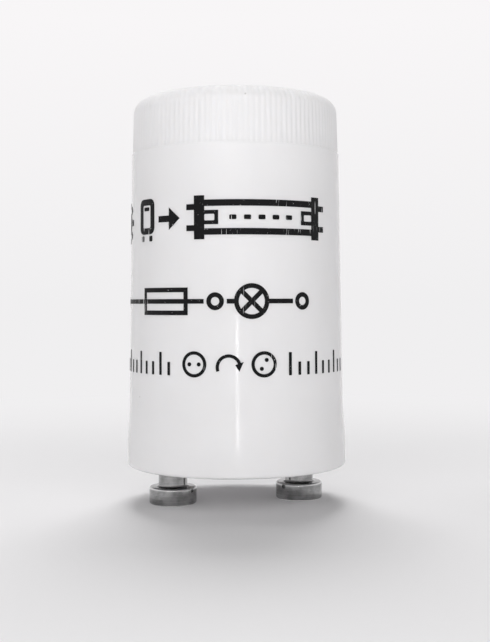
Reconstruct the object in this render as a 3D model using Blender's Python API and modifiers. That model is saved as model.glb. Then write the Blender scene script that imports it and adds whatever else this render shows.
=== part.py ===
"""A plug-in starter for tubular lamps, in metres, standing on its two contact pins.

A moulded canister with a ribbed crown is closed by a base disc that snaps into its
mouth. The disc carries two turned contact pins, 12.7 mm apart, and a glass fuse
link bridges them inside. The origin is the centre of the base disc's outer face,
+Z points to the closed end and +X runs through the two pins.
"""

import math

import bmesh
import bpy

# Gaps between pieces that seat on each other, and between the small pieces of the fuse
SEAT_GAP = 0.0003
FINE_GAP = 0.0002

# Contact pins
PIN_SPACING = 0.0127
PIN_REACH = 0.00443
PIN_HEAD_DIAMETER = 0.0046
PIN_HEAD_THICKNESS = 0.00166
PIN_HEAD_ROUND = 0.00016
PIN_NECK_DIAMETER = 0.0028
PIN_NECK_FILLET = 0.00020
PIN_COLLAR_THICKNESS = 0.0004
PIN_COLLAR_LAP = 0.0004
PIN_SHANK_DIAMETER = 0.0024
PIN_RIVET_LAP = 0.0003
PIN_RIVET_THICKNESS = 0.0005
PIN_RIVET_ROUND = 0.0002
PIN_BORE_DEPTH = 0.0030

# Canister: outside, from a pin's axis out to the mouth's edge and up to the closed end
MOUTH_REACH = 0.00435
CANISTER_HEIGHT = 0.0354
MOUTH_LAND = 0.00215
FLARE_STEP = 0.00023
FLARE_HEIGHT = 0.00385
BODY_DRAFT = math.radians(0.89)
RIM_ROUND = 0.0003

# Canister: ribbed crown
CROWN_HEIGHT = 0.0053
CROWN_STEP = 0.00008
CROWN_DRAFT = math.radians(1.6)
CROWN_FILLET = 0.0014
RIB_COUNT = 120
RIB_DEPTH = 0.00013
RIB_RUN_OUT = 0.00015

# Canister: inside
WALL = 0.0010
ROOF = 0.0012
INNER_FILLET = 0.0010
STOP_RIB_COUNT = 6
STOP_RIB_WIDTH = 0.0010
STOP_RIB_DEPTH = 0.0007
STOP_RIB_LENGTH = 0.0070

# Base disc
BASE_RECESS = 0.0007
BASE_THICKNESS = 0.0016
BASE_CHAMFER = 0.0002
SKIRT_HEIGHT = 0.0030
SKIRT_WALL = 0.0009
SNAP_DROP = 0.0013
SNAP_WIDTH = 0.0012
SNAP_DEPTH = 0.00045
BOSS_WALL = 0.0009
BOSS_HEIGHT = 0.0034
WEB_THICKNESS = 0.0010
WEB_HEIGHT = 0.0026

# Fuse link
FUSE_RISE = 0.0046
FUSE_LENGTH = 0.0100
FUSE_DIAMETER = 0.0036
FUSE_CAP_LENGTH = 0.0024
FUSE_CAP_WALL = 0.00022
FUSE_CAP_END = 0.0003
FUSE_CAP_ROUND = 0.00018
FUSE_GLASS_WALL = 0.0004
FUSE_ELEMENT_DIAMETER = 0.00016

# Lead wires and their solder
LEAD_DIAMETER = 0.0006
LEAD_BEND = 0.0009
LEAD_STUB = 0.00025
SOLDER_DIAMETER = 0.0028
SOLDER_HEIGHT = 0.0008

# Fineness of the round forms
CANISTER_STEPS = 2 * RIB_COUNT
CANISTER_BORE_STEPS = 72
BASE_STEPS = 72
PIN_STEPS = 36
FUSE_STEPS = 24
FILLET_STEPS = 6
SOLDER_STEPS = 4
ROUND_STEPS = 2
LEAD_BEVEL = 3
ELEMENT_BEVEL = 2
CUTTER_OVERRUN = 0.0010
MERGE_DISTANCE = 0.000001
SHARP_ANGLE = math.radians(35)

# Places and radii that several pieces share
PIN_X = PIN_SPACING / 2
RIM_Z = -BASE_RECESS
TOP_Z = RIM_Z + CANISTER_HEIGHT
CROWN_Z = TOP_Z - CROWN_HEIGHT
CROWN_FILLET_Z = TOP_Z - CROWN_FILLET
FLARE_TOP_Z = RIM_Z + MOUTH_LAND + FLARE_HEIGHT
MOUTH_RADIUS = PIN_X + MOUTH_REACH
BODY_RADIUS = MOUTH_RADIUS - FLARE_STEP
SHOULDER_RADIUS = BODY_RADIUS - (CROWN_Z - FLARE_TOP_Z) * math.tan(BODY_DRAFT)
CROWN_FOOT_RADIUS = SHOULDER_RADIUS - CROWN_STEP
CROWN_RADIUS = CROWN_FOOT_RADIUS - (CROWN_FILLET_Z - CROWN_Z) * math.tan(CROWN_DRAFT)
BORE_RADIUS = BODY_RADIUS - WALL
BASE_RADIUS = BORE_RADIUS - SEAT_GAP
SKIRT_BORE_RADIUS = BASE_RADIUS - SKIRT_WALL
SNAP_Z = SKIRT_HEIGHT - SNAP_DROP
STOP_Z = SKIRT_HEIGHT + SEAT_GAP
SHANK_RADIUS = PIN_SHANK_DIAMETER / 2
PIN_HOLE_RADIUS = SHANK_RADIUS + SEAT_GAP
LEAD_RADIUS = LEAD_DIAMETER / 2
PIN_END_Z = BOSS_HEIGHT + SEAT_GAP + PIN_RIVET_THICKNESS
PIN_BORE_FLOOR_Z = PIN_END_Z - PIN_BORE_DEPTH
SOLDER_FOOT_Z = PIN_END_Z + FINE_GAP
FUSE_Z = PIN_END_Z + FUSE_RISE
FUSE_CAP_FLOOR = FUSE_LENGTH / 2 - FUSE_CAP_END
GLASS_RADIUS = FUSE_DIAMETER / 2 - FUSE_CAP_WALL - FINE_GAP


def clear_scene():
    """Take every object out of the scene."""
    for thing in list(bpy.data.objects):
        bpy.data.objects.remove(thing, do_unlink=True)


def new_collection(name):
    """A collection of that name in the scene, empty."""
    old = bpy.data.collections.get(name)
    if old:
        bpy.data.collections.remove(old)
    collection = bpy.data.collections.new(name)
    bpy.context.scene.collection.children.link(collection)
    return collection


def plain_material(name, colour, metallic, roughness, transmission=0.0):
    """A Principled BSDF material with one colour."""
    material = bpy.data.materials.new(name)
    material.use_nodes = True
    shader = material.node_tree.nodes["Principled BSDF"]
    shader.inputs["Base Color"].default_value = (*colour, 1.0)
    shader.inputs["Metallic"].default_value = metallic
    shader.inputs["Roughness"].default_value = roughness
    shader.inputs["Transmission Weight"].default_value = transmission
    return material


def arc(centre, radius, start, end, steps):
    """Points on an arc, from the start angle to the end angle in degrees, both included."""
    points = []
    for step in range(steps + 1):
        angle = math.radians(start + (end - start) * step / steps)
        points.append((centre[0] + radius * math.cos(angle), centre[1] + radius * math.sin(angle)))
    return points


def add_object(name, data, collection):
    """An object with that data, linked to the collection."""
    thing = bpy.data.objects.new(name, data)
    collection.objects.link(thing)
    return thing


def applied(thing):
    """Put a plain mesh of the object as its modifiers show it in the object's place."""
    bpy.context.view_layer.update()
    evaluated = thing.evaluated_get(bpy.context.evaluated_depsgraph_get())
    mesh = bpy.data.meshes.new_from_object(evaluated)
    name = thing.name
    place = thing.matrix_world.copy()
    collection = thing.users_collection[0]
    bpy.data.objects.remove(thing, do_unlink=True)
    solid = add_object(name, mesh, collection)
    solid.matrix_world = place
    mesh.name = name
    return solid


def turned(name, outline, steps, collection, ring=False):
    """Turn an outline of (radius, height) points about Z. A ring's outline closes on itself."""
    mesh = bpy.data.meshes.new(name)
    corners = [(radius, 0.0, height) for radius, height in outline]
    edges = [(index, index + 1) for index in range(len(corners) - 1)]
    if ring:
        edges.append((len(corners) - 1, 0))
    mesh.from_pydata(corners, edges, [])
    thing = add_object(name, mesh, collection)
    screw = thing.modifiers.new("Turn", "SCREW")
    screw.axis = "Z"
    screw.steps = steps
    screw.render_steps = steps
    screw.use_merge_vertices = True
    screw.merge_threshold = MERGE_DISTANCE
    solid = applied(thing)
    solid.data.shade_smooth()
    solid.data.set_sharp_from_angle(angle=SHARP_ANGLE)
    return solid


def wire(name, route, diameter, bevel_resolution, collection):
    """A round wire along the route's points, with closed ends."""
    curve = bpy.data.curves.new(name, "CURVE")
    curve.dimensions = "3D"
    curve.bevel_depth = diameter / 2
    curve.bevel_resolution = bevel_resolution
    curve.use_fill_caps = True
    spline = curve.splines.new("POLY")
    spline.points.add(len(route) - 1)
    for point, place in zip(spline.points, route):
        point.co = (*place, 1.0)
    return add_object(name, curve, collection)


def box(name, low, high, collection):
    """A box between two corners."""
    mesh = bpy.data.meshes.new(name)
    shape = bmesh.new()
    bmesh.ops.create_cube(shape, size=1.0)
    for vertex in shape.verts:
        for axis in range(3):
            vertex.co[axis] = low[axis] if vertex.co[axis] < 0 else high[axis]
    shape.to_mesh(mesh)
    shape.free()
    return add_object(name, mesh, collection)


def rod(name, x, radius, low_z, high_z, collection):
    """An upright cylinder that stands on the X axis."""
    mesh = bpy.data.meshes.new(name)
    shape = bmesh.new()
    bmesh.ops.create_cone(
        shape,
        cap_ends=True,
        segments=PIN_STEPS,
        radius1=radius,
        radius2=radius,
        depth=high_z - low_z,
    )
    shape.to_mesh(mesh)
    shape.free()
    thing = add_object(name, mesh, collection)
    thing.location = (x, 0.0, (low_z + high_z) / 2)
    return thing


def combine(target, tool, operation):
    """Cut the target with a tool, or join the tool to it. The tool shows as a wire frame."""
    boolean = target.modifiers.new(tool.name, "BOOLEAN")
    boolean.operation = operation
    boolean.object = tool
    tool.hide_render = True
    tool.display_type = "WIRE"


def finish(thing, material, parent=None):
    """Give a piece its material and its parent."""
    thing.data.materials.clear()
    thing.data.materials.append(material)
    if parent:
        thing.parent = parent


def crown_outline():
    """The outline of the crown's rib crests, from the centre of the roof down to its foot."""
    centre = (CROWN_RADIUS - CROWN_FILLET, CROWN_FILLET_Z)
    foot = (CROWN_FOOT_RADIUS, CROWN_Z + RIB_RUN_OUT)
    return [(0.0, TOP_Z), *arc(centre, CROWN_FILLET, 90, 0, FILLET_STEPS), foot]


def body_outline():
    """The plain wall below the crown, its flare and the rounded rim."""
    corner = (MOUTH_RADIUS - RIM_ROUND, RIM_Z + RIM_ROUND)
    return [
        (SHOULDER_RADIUS, CROWN_Z),
        (BODY_RADIUS, FLARE_TOP_Z),
        (MOUTH_RADIUS, RIM_Z + MOUTH_LAND),
        *arc(corner, RIM_ROUND, 0, -90, ROUND_STEPS),
        (0.0, RIM_Z),
    ]


def press_ribs(solid):
    """Sink every second line of the crown, along the surface's own normal, to form the ribs."""
    fillet_radius = CROWN_RADIUS - CROWN_FILLET
    for vertex in solid.data.vertices:
        radius = math.hypot(vertex.co.x, vertex.co.y)
        line = round(math.atan2(vertex.co.y, vertex.co.x) / (2 * math.pi) * CANISTER_STEPS)
        on_roof = radius < fillet_radius + MERGE_DISTANCE
        if line % 2 == 0 or on_roof or vertex.co.z < CROWN_Z + RIB_RUN_OUT / 2:
            continue
        outward = radius - fillet_radius
        upward = max(vertex.co.z - CROWN_FILLET_Z, 0.0)
        slope = math.hypot(outward, upward)
        sunk = radius - RIB_DEPTH * outward / slope
        vertex.co.x *= sunk / radius
        vertex.co.y *= sunk / radius
        vertex.co.z -= RIB_DEPTH * upward / slope


def hollow_outline():
    """The inside of the canister, with the groove that the base disc snaps into."""
    roof_z = TOP_Z - ROOF
    corner = (CROWN_RADIUS - WALL - INNER_FILLET, roof_z - INNER_FILLET)
    groove = BORE_RADIUS + SNAP_DEPTH
    reach = SNAP_WIDTH / 2 + SEAT_GAP
    return [
        (0.0, roof_z),
        *arc(corner, INNER_FILLET, 90, 0, ROUND_STEPS),
        (SHOULDER_RADIUS - WALL, CROWN_Z),
        (BORE_RADIUS, FLARE_TOP_Z),
        (BORE_RADIUS, SNAP_Z + reach),
        (groove, SNAP_Z + reach - SNAP_DEPTH),
        (groove, SNAP_Z - reach + SNAP_DEPTH),
        (BORE_RADIUS, SNAP_Z - reach),
        (BORE_RADIUS, RIM_Z - CUTTER_OVERRUN),
        (0.0, RIM_Z - CUTTER_OVERRUN),
    ]


def make_canister(parts, cutters, material):
    """The moulded can: ribbed crown, tapered wall and flared mouth, with ribs inside that stop the base."""
    canister = turned("canister", crown_outline() + body_outline(), CANISTER_STEPS, parts)
    press_ribs(canister)
    hollow = turned("canister_hollow", hollow_outline(), CANISTER_BORE_STEPS, cutters)
    for number in range(STOP_RIB_COUNT):
        block = box(
            f"stop_rib_{number + 1}",
            (BORE_RADIUS - STOP_RIB_DEPTH, -STOP_RIB_WIDTH / 2, STOP_Z),
            (BORE_RADIUS + WALL, STOP_RIB_WIDTH / 2, STOP_Z + STOP_RIB_LENGTH),
            cutters,
        )
        block.rotation_euler.z = math.pi * (2 * number + 1) / STOP_RIB_COUNT
        combine(hollow, block, "DIFFERENCE")
    combine(canister, hollow, "DIFFERENCE")
    finish(canister, material)


def base_outline():
    """The disc, its skirt and the snap bead round it."""
    crest = BASE_RADIUS + SNAP_DEPTH
    return [
        (0.0, BASE_THICKNESS),
        (SKIRT_BORE_RADIUS, BASE_THICKNESS),
        (SKIRT_BORE_RADIUS, SKIRT_HEIGHT),
        (BASE_RADIUS - BASE_CHAMFER, SKIRT_HEIGHT),
        (BASE_RADIUS, SKIRT_HEIGHT - BASE_CHAMFER),
        (BASE_RADIUS, SNAP_Z + SNAP_WIDTH / 2),
        (crest, SNAP_Z + SNAP_WIDTH / 2 - SNAP_DEPTH),
        (crest, SNAP_Z - SNAP_WIDTH / 2 + SNAP_DEPTH),
        (BASE_RADIUS, SNAP_Z - SNAP_WIDTH / 2),
        (BASE_RADIUS, BASE_CHAMFER),
        (BASE_RADIUS - BASE_CHAMFER, 0.0),
        (0.0, 0.0),
    ]


def make_base(parts, cutters, material):
    """The moulded disc that closes the mouth, with a boss and a hole for each pin and a web between them."""
    base = turned("base_disc", base_outline(), BASE_STEPS, parts)
    root_z = BASE_THICKNESS / 2
    core = rod("boss_limit", 0.0, BASE_RADIUS - BASE_CHAMFER, 0.0, BOSS_HEIGHT + CUTTER_OVERRUN, cutters)
    web = box(
        "web_block",
        (-PIN_X, -WEB_THICKNESS / 2, root_z),
        (PIN_X, WEB_THICKNESS / 2, WEB_HEIGHT),
        cutters,
    )
    combine(base, web, "UNION")
    sides = (("left", -PIN_X), ("right", PIN_X))
    for side, x in sides:
        boss = rod(f"boss_{side}", x, PIN_HOLE_RADIUS + BOSS_WALL, root_z, BOSS_HEIGHT, cutters)
        combine(boss, core, "INTERSECT")
        combine(base, boss, "UNION")
    for side, x in sides:
        low_z = -CUTTER_OVERRUN
        high_z = BOSS_HEIGHT + CUTTER_OVERRUN
        hole = rod(f"pin_hole_{side}", x, PIN_HOLE_RADIUS, low_z, high_z, cutters)
        combine(base, hole, "DIFFERENCE")
    finish(base, material)


def pin_outline():
    """One contact pin: lead bore, riveted end, shank, collar, neck and round head."""
    bore = LEAD_RADIUS + SEAT_GAP
    rivet = PIN_HOLE_RADIUS + PIN_RIVET_LAP
    collar = PIN_HOLE_RADIUS + PIN_COLLAR_LAP
    neck = PIN_NECK_DIAMETER / 2
    head = PIN_HEAD_DIAMETER / 2
    collar_z = -SEAT_GAP - PIN_COLLAR_THICKNESS
    head_top_z = PIN_HEAD_THICKNESS - PIN_REACH
    rivet_corner = (rivet - PIN_RIVET_ROUND, PIN_END_Z - PIN_RIVET_ROUND)
    neck_corner = (neck + PIN_NECK_FILLET, head_top_z + PIN_NECK_FILLET)
    top_corner = (head - PIN_HEAD_ROUND, head_top_z - PIN_HEAD_ROUND)
    foot_corner = (head - PIN_HEAD_ROUND, PIN_HEAD_ROUND - PIN_REACH)
    return [
        (0.0, PIN_BORE_FLOOR_Z),
        (bore, PIN_BORE_FLOOR_Z),
        (bore, PIN_END_Z),
        *arc(rivet_corner, PIN_RIVET_ROUND, 90, 0, ROUND_STEPS),
        (rivet, BOSS_HEIGHT + SEAT_GAP),
        (SHANK_RADIUS, BOSS_HEIGHT + SEAT_GAP),
        (SHANK_RADIUS, -SEAT_GAP),
        (collar, -SEAT_GAP),
        (collar, collar_z),
        (neck, collar_z),
        *arc(neck_corner, PIN_NECK_FILLET, 180, 270, ROUND_STEPS),
        *arc(top_corner, PIN_HEAD_ROUND, 90, 0, ROUND_STEPS),
        *arc(foot_corner, PIN_HEAD_ROUND, 0, -90, ROUND_STEPS),
        (0.0, -PIN_REACH),
    ]


def make_pin(side, direction, parts, material):
    """One turned contact pin, riveted through the base disc."""
    pin = turned(f"contact_pin_{side}", pin_outline(), PIN_STEPS, parts)
    pin.location.x = direction * PIN_X
    finish(pin, material)


def cap_outline():
    """A fuse cap as a cup that opens downwards, its end on top."""
    cap = FUSE_DIAMETER / 2
    end = FUSE_LENGTH / 2
    mouth = end - FUSE_CAP_LENGTH
    corner = (cap - FUSE_CAP_ROUND, end - FUSE_CAP_ROUND)
    return [
        (0.0, end),
        *arc(corner, FUSE_CAP_ROUND, 90, 0, ROUND_STEPS),
        (cap, mouth),
        (cap - FUSE_CAP_WALL, mouth),
        (cap - FUSE_CAP_WALL, FUSE_CAP_FLOOR),
        (0.0, FUSE_CAP_FLOOR),
    ]


def glass_outline():
    """The section of the glass tube's wall."""
    bore = GLASS_RADIUS - FUSE_GLASS_WALL
    end = FUSE_CAP_FLOOR - FINE_GAP
    return [(bore, end), (GLASS_RADIUS, end), (GLASS_RADIUS, -end), (bore, -end)]


def make_fuse(parts, materials):
    """The fuse link, lying along X above the base: glass tube, two end caps and the melting wire."""
    axis = add_object("fuse_axis", None, parts)
    axis.location.z = FUSE_Z
    axis.rotation_euler.y = math.pi / 2
    tube = turned("fuse_tube", glass_outline(), FUSE_STEPS, parts, ring=True)
    finish(tube, materials["glass"], axis)
    for side, turn in (("right", 0.0), ("left", math.pi)):
        cap = turned(f"fuse_cap_{side}", cap_outline(), FUSE_STEPS, parts)
        cap.rotation_euler.y = turn
        finish(cap, materials["nickel"], axis)
    reach = FUSE_CAP_FLOOR - FINE_GAP
    route = [(0.0, 0.0, -reach), (0.0, 0.0, reach)]
    element = wire("fuse_element", route, FUSE_ELEMENT_DIAMETER, ELEMENT_BEVEL, parts)
    finish(element, materials["tinned_copper"], axis)


def lead_route(direction):
    """From the pin's bore up through the solder, out to the riser, round one bend and in to the cap."""
    cap_x = FUSE_LENGTH / 2 + FINE_GAP
    bend = (cap_x + LEAD_STUB, FUSE_Z - LEAD_BEND)
    outline = [
        (PIN_X, PIN_BORE_FLOOR_Z + FINE_GAP),
        (PIN_X, SOLDER_FOOT_Z + SOLDER_HEIGHT + LEAD_DIAMETER),
        *arc(bend, LEAD_BEND, 0, 90, FILLET_STEPS),
        (cap_x, FUSE_Z),
    ]
    return [(direction * x, 0.0, z) for x, z in outline]


def solder_outline():
    """A ring of solder with a hollow flank, on the pin's end and round the lead."""
    bore = LEAD_RADIUS + FINE_GAP
    foot = SOLDER_DIAMETER / 2
    flank = []
    for step in range(SOLDER_STEPS):
        fall = step / SOLDER_STEPS
        flank.append((bore + (foot - bore) * fall**2, SOLDER_FOOT_Z + SOLDER_HEIGHT * (1 - fall)))
    return [*flank, (foot, SOLDER_FOOT_Z), (bore, SOLDER_FOOT_Z)]


def make_connection(side, direction, parts, materials):
    """The lead wire from one fuse cap down into its pin, and the solder that holds it there."""
    lead = wire(f"lead_wire_{side}", lead_route(direction), LEAD_DIAMETER, LEAD_BEVEL, parts)
    finish(lead, materials["tinned_copper"])
    solder = turned(f"solder_joint_{side}", solder_outline(), FUSE_STEPS, parts, ring=True)
    solder.location.x = direction * PIN_X
    finish(solder, materials["solder"])


def make_materials():
    """The material of each kind of piece."""
    return {
        "white_plastic": plain_material("white_plastic", (0.86, 0.86, 0.85), 0.0, 0.22),
        "nickel": plain_material("nickel", (0.66, 0.64, 0.61), 1.0, 0.15),
        "glass": plain_material("glass", (0.95, 0.97, 0.97), 0.0, 0.05, 1.0),
        "tinned_copper": plain_material("tinned_copper", (0.68, 0.66, 0.64), 1.0, 0.3),
        "solder": plain_material("solder", (0.60, 0.60, 0.61), 1.0, 0.35),
    }


def main():
    """Build every piece of the starter."""
    clear_scene()
    parts = new_collection("starter")
    cutters = new_collection("cutters")
    materials = make_materials()
    make_canister(parts, cutters, materials["white_plastic"])
    make_base(parts, cutters, materials["white_plastic"])
    for side, direction in (("left", -1), ("right", 1)):
        make_pin(side, direction, parts, materials["nickel"])
        make_connection(side, direction, parts, materials)
    make_fuse(parts, materials)


main()
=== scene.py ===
"""A plug-in starter for tubular lamps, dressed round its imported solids.

The ribbed canister and the two contact pins are modelled again with a finer surface, the
black print lies on the canister as thin ink, and every other solid gets its own finish.
Lengths are in metres, +Z points to the canister's closed end, +X runs through the pins.
"""

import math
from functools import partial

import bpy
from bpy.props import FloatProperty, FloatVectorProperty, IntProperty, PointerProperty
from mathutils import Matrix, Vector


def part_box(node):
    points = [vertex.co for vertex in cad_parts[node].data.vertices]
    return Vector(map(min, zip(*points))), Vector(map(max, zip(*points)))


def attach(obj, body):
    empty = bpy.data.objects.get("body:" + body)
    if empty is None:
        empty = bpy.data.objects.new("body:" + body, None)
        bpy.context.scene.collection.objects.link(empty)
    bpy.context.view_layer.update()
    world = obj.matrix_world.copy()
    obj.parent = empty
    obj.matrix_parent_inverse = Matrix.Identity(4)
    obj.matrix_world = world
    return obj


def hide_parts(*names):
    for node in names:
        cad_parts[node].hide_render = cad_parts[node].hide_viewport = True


bl_info = {
    "name": "Plug-in starter",
    "version": (1, 0, 0),
    "blender": (4, 5, 0),
    "location": "View3D > Sidebar > Starter",
    "description": "Dresses a plug-in lamp starter with its canister, pins, print and stage",
    "category": "Object",
}

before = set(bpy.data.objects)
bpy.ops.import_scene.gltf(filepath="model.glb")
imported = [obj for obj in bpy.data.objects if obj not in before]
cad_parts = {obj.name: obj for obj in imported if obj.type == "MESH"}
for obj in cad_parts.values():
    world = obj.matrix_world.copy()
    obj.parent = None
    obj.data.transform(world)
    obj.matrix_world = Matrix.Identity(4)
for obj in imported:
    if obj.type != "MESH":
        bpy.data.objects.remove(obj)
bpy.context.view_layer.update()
MM = 0.001
BODY = "root"

# What the frame gives
CAN_LOW, CAN_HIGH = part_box("canister")
PIN_LOW, PIN_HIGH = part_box("contact_pin_right")
RIM_Z = CAN_LOW.z
TOP_Z = CAN_HIGH.z
MOUTH_RADIUS = CAN_HIGH.x
PIN_X = (PIN_LOW.x + PIN_HIGH.x) / 2
PIN_FOOT_Z = PIN_LOW.z
PIN_END_Z = PIN_HIGH.z
HEAD_RADIUS = (PIN_HIGH.x - PIN_LOW.x) / 2
MIDDLE_Z = (RIM_Z + TOP_Z) / 2

# Welding distance, the slack within which a corner counts as lying on a line, and the size of
# the plane that an outline starts from
WELD = 0.0000005
NEAR = 0.000005
START_SIZE = 0.0001
SHARP_ANGLE = math.radians(40)
# Flat steps that make up each kind of curve
FLARE_STEPS = 8
ROOF_STEPS = 14
EDGE_STEPS = 6
INNER_STEPS = 5
FINE_STEPS = 4
CIRCLE_STEPS = 45
HALF_RING_STEPS = 20
CORNER_STEPS = 8
BEND_STEPS = 24
# Lean of the roof's edge over which the crown's grooves fade out
RIB_FADE = math.radians(40)
# Soft noise has nearly all of its values between the first two, and most between the others
WIDE_SPREAD = (0.3, 0.7)
NARROW_SPREAD = (0.35, 0.65)
# The floor lies this far under the pins' end faces, and a ray this short comes from them
FLOOR_GAP = 0.00002
TOUCHING_RAY = FLOOR_GAP * 6


def linear(hex_colour):
    """Turn an sRGB hex colour into linear red, green, blue and alpha."""
    channels = []
    for place in (0, 2, 4):
        value = int(hex_colour[place : place + 2], 16) / 255
        channels.append(value / 12.92 if value <= 0.04045 else ((value + 0.055) / 1.055) ** 2.4)
    return (*channels, 1.0)


def colour(label, description, hex_colour):
    """A colour that a user can change."""
    value = linear(hex_colour)
    return FloatVectorProperty(
        name=label, description=description, default=value, subtype="COLOR", size=4, min=0.0, max=1.0
    )


def length(label, description, default):
    """A length that a user can change."""
    return FloatProperty(name=label, description=description, default=default, unit="LENGTH", precision=5)


def power(label, description, watts):
    """A lamp's power that a user can change."""
    return FloatProperty(name=label, description=description, default=watts, subtype="POWER", precision=4)


def angle(label, description, degrees):
    """An angle that a user can change."""
    turn = math.radians(degrees)
    kind = {"subtype": "ANGLE", "unit": "ROTATION"}
    return FloatProperty(name=label, description=description, default=turn, **kind)


class StarterCanisterSizes(bpy.types.PropertyGroup):
    """The canister's outline, crown and inside."""

    mouth_land: length("Mouth land", "Straight stretch above the rim", 0.00215)
    flare_height: length("Flare height", "Height over which the mouth widens", 0.00385)
    flare_step: length("Flare step", "How far the mouth stands out from the body", 0.00023)
    rim_round: length("Rim round", "Rounding of the rim's outer edge", 0.0003)
    body_draft: angle("Body draft", "Taper of the wall between flare and crown", 0.89)
    crown_height: length("Crown height", "Height of the ribbed crown", 0.0053)
    crown_step: length("Crown step", "Step in at the crown's foot", 0.00008)
    crown_draft: angle("Crown draft", "Taper of the crown", 1.6)
    crown_fillet: length("Crown fillet", "Rounding between the crown and the roof", 0.0014)
    rib_count: IntProperty(name="Ribs", description="Ribs round the crown", default=120, min=12)
    rib_depth: length("Rib depth", "Depth of the grooves between the ribs", 0.00005)
    rib_run_out: length("Rib run-out", "Height over which the grooves start at the crown's foot", 0.00015)
    steps_per_rib: IntProperty(name="Steps per rib", description="Steps round each rib", default=6, min=4)
    wall: length("Wall", "Thickness of the wall", 0.0010)
    roof: length("Roof", "Thickness of the closed end", 0.0012)
    inner_fillet: length("Inner fillet", "Rounding inside the closed end", 0.0010)
    stop_rib_count: IntProperty(name="Stop ribs", description="Ribs inside that stop the base", default=6)
    stop_rib_width: length("Stop rib width", "Width of a stop rib", 0.0010)
    stop_rib_depth: length("Stop rib depth", "How far a stop rib stands in", 0.0007)
    stop_rib_length: length("Stop rib length", "Length of a stop rib", 0.0070)
    stop_z: length("Stop height", "Height of the stop ribs' lower ends", 0.0033)
    snap_z: length("Snap height", "Height of the groove that the base snaps into", 0.0017)
    snap_reach: length("Snap reach", "Half the groove's height at its mouth", 0.0009)
    snap_depth: length("Snap depth", "Depth of that groove", 0.00045)


class StarterPinSizes(bpy.types.PropertyGroup):
    """The turned contact pins."""

    head_thickness: length("Head thickness", "Thickness of the round head", 0.00166)
    head_round: length("Head round", "Rounding of the head's edges", 0.00020)
    neck_radius: length("Neck radius", "Radius of the neck between collar and head", 0.0014)
    neck_fillet: length("Neck fillet", "Rounding where the neck meets the head", 0.00025)
    collar_radius: length("Collar radius", "Radius of the collar under the base", 0.0019)
    collar_thickness: length("Collar thickness", "Thickness of that collar", 0.0004)
    collar_round: length("Collar round", "Rounding of the collar's edge", 0.00008)
    shank_radius: length("Shank radius", "Radius of the shank inside the base", 0.0012)
    seat_gap: length("Seat gap", "Gap between the pin and the base", 0.0003)
    rivet_radius: length("Rivet radius", "Radius of the riveted end", 0.0018)
    rivet_thickness: length("Rivet thickness", "Thickness of the riveted end", 0.0005)
    rivet_round: length("Rivet round", "Rounding of the riveted end", 0.0002)
    bore_radius: length("Bore radius", "Radius of the bore for the lead", 0.0006)
    bore_depth: length("Bore depth", "Depth of that bore", 0.0030)
    steps: IntProperty(name="Steps", description="Steps round a pin", default=144, min=24)


class StarterPrintSizes(bpy.types.PropertyGroup):
    """The three printed rows. Places along a row are arc lengths from the print's middle line."""

    facing: angle("Facing", "Turn of the print's middle line from -Y towards +X", -11.24)
    bold_z: length("Bold row", "Height of the lamp picture's lower edge", 0.02074)
    bold_height: length("Bold height", "Height of the lamp picture", 0.00393)
    bold_stroke: length("Bold stroke", "Width of its strokes", 0.00058)
    wiring_z: length("Wiring row", "Height of the wiring row's lower edge", 0.0136)
    wiring_height: length("Wiring height", "Height of the wiring row", 0.0032)
    wiring_stroke: length("Wiring stroke", "Width of its strokes", 0.00042)
    turn_z: length("Turn row", "Height of the turning scale's lower edge", 0.0085)
    turn_height: length("Turn height", "Height of the turning scale", 0.0021)
    turn_stroke: length("Turn stroke", "Width of its strokes", 0.0003)
    ink: length("Ink", "Thickness of the ink", 0.000018)
    lift: length("Lift", "Gap between the canister and the ink", 0.000004)
    bend_step: angle("Bend step", "Widest flat stretch of ink round the canister", 1.5)


class StarterColours(bpy.types.PropertyGroup):
    """Colours of the pieces and the stage."""

    plastic: colour("Plastic", "White moulded plastic", "ECEBEC")
    # Painted light: the crown's lighter colour stands for light coming through the roof
    crown: colour("Crown", "The same plastic where light comes through the roof", "F0EFF0")
    speck: colour("Speck", "Specks in the plastic", "A9A6A2")
    nickel: colour("Nickel", "Bright nickel plating", "D1D1D1")
    # Tarnished nickel, also used as the painted shade on the pins' upper faces
    tarnish_and_painted_shade: colour("Tarnish", "Tarnished nickel", "3A3A3A")
    ink: colour("Ink", "Black printing ink", "141415")
    tin: colour("Tinned copper", "Tinned copper wire", "BDBAB5")
    solder: colour("Solder", "Soft solder", "A8A8AA")
    glass: colour("Glass", "Fuse glass", "F3F8F7")
    floor: colour("Floor", "Pale card floor", "E9E8E9")
    background_low: colour("Background, low", "Background at eye level", "F0EFF0")
    background_high: colour("Background, high", "Background above", "F8F6F7")


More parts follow.
